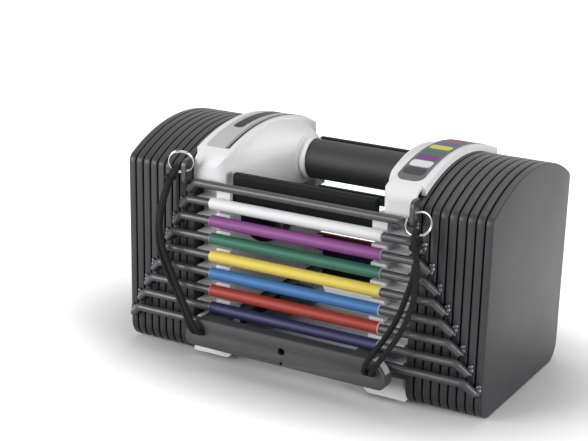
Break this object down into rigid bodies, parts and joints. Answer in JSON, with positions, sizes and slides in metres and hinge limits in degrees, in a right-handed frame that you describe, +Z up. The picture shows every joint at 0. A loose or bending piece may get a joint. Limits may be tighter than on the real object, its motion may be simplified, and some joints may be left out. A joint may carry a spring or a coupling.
{
  "type": "adjustable dumbbell",
  "caption": "Block-style adjustable dumbbell: nested plate pairs on coloured rails round a handle core, set by a pull-out fork pin on elastic cords.",
  "frame": {"origin": "centre of the resting face on the floor, midway between the end plates", "axes": "+X along the handle, -Y the side where the selector pin goes in, +Z up"},
  "size_m": [0.305, 0.2004, 0.178],
  "materials": {
    "plate_coat": "dark grey fine-textured powder coat",
    "rail_coat": "grey satin powder coat",
    "sleeve_white": "smooth extruded sleeve",
    "sleeve_purple": "smooth extruded sleeve",
    "sleeve_green": "smooth extruded sleeve",
    "sleeve_yellow": "smooth extruded sleeve",
    "sleeve_blue": "smooth extruded sleeve",
    "sleeve_red": "smooth extruded sleeve",
    "sleeve_navy": "smooth extruded sleeve",
    "sleeve_black": "smooth extruded sleeve",
    "cover_plastic": "white moulded plastic, soft gloss",
    "grip_rubber": "matt black rubber",
    "tube_steel": "plain steel tube",
    "pad_rubber": "black moulded rubber, ribbed inside",
    "pin_plastic": "dark grey moulded plastic",
    "ring_chrome": "bright plated spring wire",
    "cord_braid": "black braided elastic",
    "label_silver": "silver grey printed film",
    "label_grey": "mid grey printed film",
    "screw_steel": "plated screws"
  },
  "bodies": {
    "outer_weight": {"weight_8_left_plate": "plate_coat", "weight_8_right_plate": "plate_coat", "weight_8_rails": "rail_coat", "weight_8_sleeves": "sleeve_black"},
    "core": {"core_rails": "rail_coat", "left_core_plate": "plate_coat", "right_core_plate": "plate_coat", "handle_tube": "tube_steel", "handle_grip": "grip_rubber", "front_hand_pad": "pad_rubber", "rear_hand_pad": "pad_rubber", "left_cover": "cover_plastic", "right_cover": "cover_plastic", "left_comb_columns": "cover_plastic", "right_comb_columns": "cover_plastic", "left_cross_wall": "cover_plastic", "right_cross_wall": "cover_plastic", "left_cover_screws": "screw_steel", "right_cover_screws": "screw_steel", "left_cord_ear": "rail_coat", "right_cord_ear": "rail_coat", "left_name_label": "label_silver", "right_weight_chart": "label_grey", "left_elastic_cord": "cord_braid", "right_elastic_cord": "cord_braid", "weight_1_left_plate": "plate_coat", "weight_1_right_plate": "plate_coat", "weight_1_rails": "rail_coat", "weight_1_sleeves": "sleeve_white", "weight_2_left_plate": "plate_coat", "weight_2_right_plate": "plate_coat", "weight_2_rails": "rail_coat", "weight_2_sleeves": "sleeve_purple", "weight_3_left_plate": "plate_coat", "weight_3_right_plate": "plate_coat", "weight_3_rails": "rail_coat", "weight_3_sleeves": "sleeve_green", "weight_4_left_plate": "plate_coat", "weight_4_right_plate": "plate_coat", "weight_4_rails": "rail_coat", "weight_4_sleeves": "sleeve_yellow", "weight_5_left_plate": "plate_coat", "weight_5_right_plate": "plate_coat", "weight_5_rails": "rail_coat", "weight_5_sleeves": "sleeve_blue", "weight_6_left_plate": "plate_coat", "weight_6_right_plate": "plate_coat", "weight_6_rails": "rail_coat", "weight_6_sleeves": "sleeve_red", "weight_7_left_plate": "plate_coat", "weight_7_right_plate": "plate_coat", "weight_7_rails": "rail_coat", "weight_7_sleeves": "sleeve_navy"},
    "selector_pin": {"pin_bar": "pin_plastic", "left_prong": "pin_plastic", "right_prong": "pin_plastic"},
    "left_ring": {"left_split_ring": "ring_chrome"},
    "right_ring": {"right_split_ring": "ring_chrome"}
  },
  "joints": [
    {"name": "core_lift", "type": "slide", "parent": "outer_weight", "child": "core", "axis": [0, 0, 1], "range_m": [0, 0.18]},
    {"name": "pin_pull", "type": "slide", "parent": "core", "child": "selector_pin", "axis": [0, -1, 0], "range_m": [0, 0.185], "deforming": ["left_elastic_cord", "right_elastic_cord"]},
    {"name": "left_ring_swing", "type": "hinge", "parent": "core", "child": "left_ring", "pos_m": [-0.0952, -0.0791, 0.14925], "axis": [0.8681, 0.306, 0.3907], "range_deg": [-25, 20], "deforming": ["left_elastic_cord"]},
    {"name": "right_ring_swing", "type": "hinge", "parent": "core", "child": "right_ring", "pos_m": [0.0952, -0.0791, 0.14925], "axis": [0.7934, 0.3887, 0.4684], "range_deg": [-20, 25], "deforming": ["right_elastic_cord"]}
  ]
}
